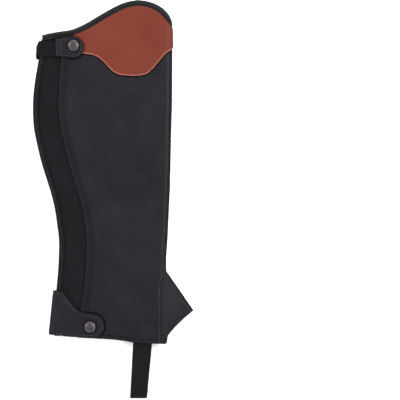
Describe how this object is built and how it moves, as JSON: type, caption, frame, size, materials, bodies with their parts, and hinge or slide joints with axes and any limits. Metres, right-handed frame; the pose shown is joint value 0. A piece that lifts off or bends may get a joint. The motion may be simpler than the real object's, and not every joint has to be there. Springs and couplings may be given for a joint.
{
  "type": "half chap",
  "caption": "One black leather half chap, laid flat, with an elastic calf panel, brown knee overlay, snap tabs at the calf and ankle, a back zip, a folded instep flare and a stirrup loop.",
  "frame": {"origin": "centre of the part's box, on the surface it lies on", "axes": "+Y up the leg to the knee, +X to the shin, +Z out of the outer side, away from the surface"},
  "size_m": [0.2054, 0.5104, 0.0234],
  "materials": {
    "black_grain_leather": "pebbled grain, low sheen",
    "brown_leather": "smooth, satin",
    "binding_leather": "soft rolled leather",
    "black_elastic": "ribbed knit elastic, matt",
    "zip_tape": "woven tape, matt",
    "gunmetal": "dark plated, satin"
  },
  "bodies": {
    "chap": {"outer_panel": "black_grain_leather", "inner_panel": "black_grain_leather", "elastic_panel": "black_elastic", "back_strip": "black_grain_leather", "spanish_top": "brown_leather", "top_binding": "binding_leather", "instep_gusset": "black_grain_leather", "zip_tape_outer": "zip_tape", "zip_tape_inner": "zip_tape", "zip_chain": "zip_tape", "zip_box": "gunmetal", "zip_slider": "gunmetal", "top_strap": "black_elastic", "top_tab": "black_grain_leather", "top_snap": "gunmetal", "lower_tab": "black_grain_leather", "lower_snap": "gunmetal", "stirrup_strap": "black_elastic"},
    "pull": {"zip_pull": "gunmetal"}
  },
  "joints": [
    {"name": "pull_swing", "type": "hinge", "parent": "chap", "child": "pull", "pos_m": [-0.09467, 0.17085, 0.00814], "axis": [0, 0, -1], "range_deg": [0, 115]}
  ]
}
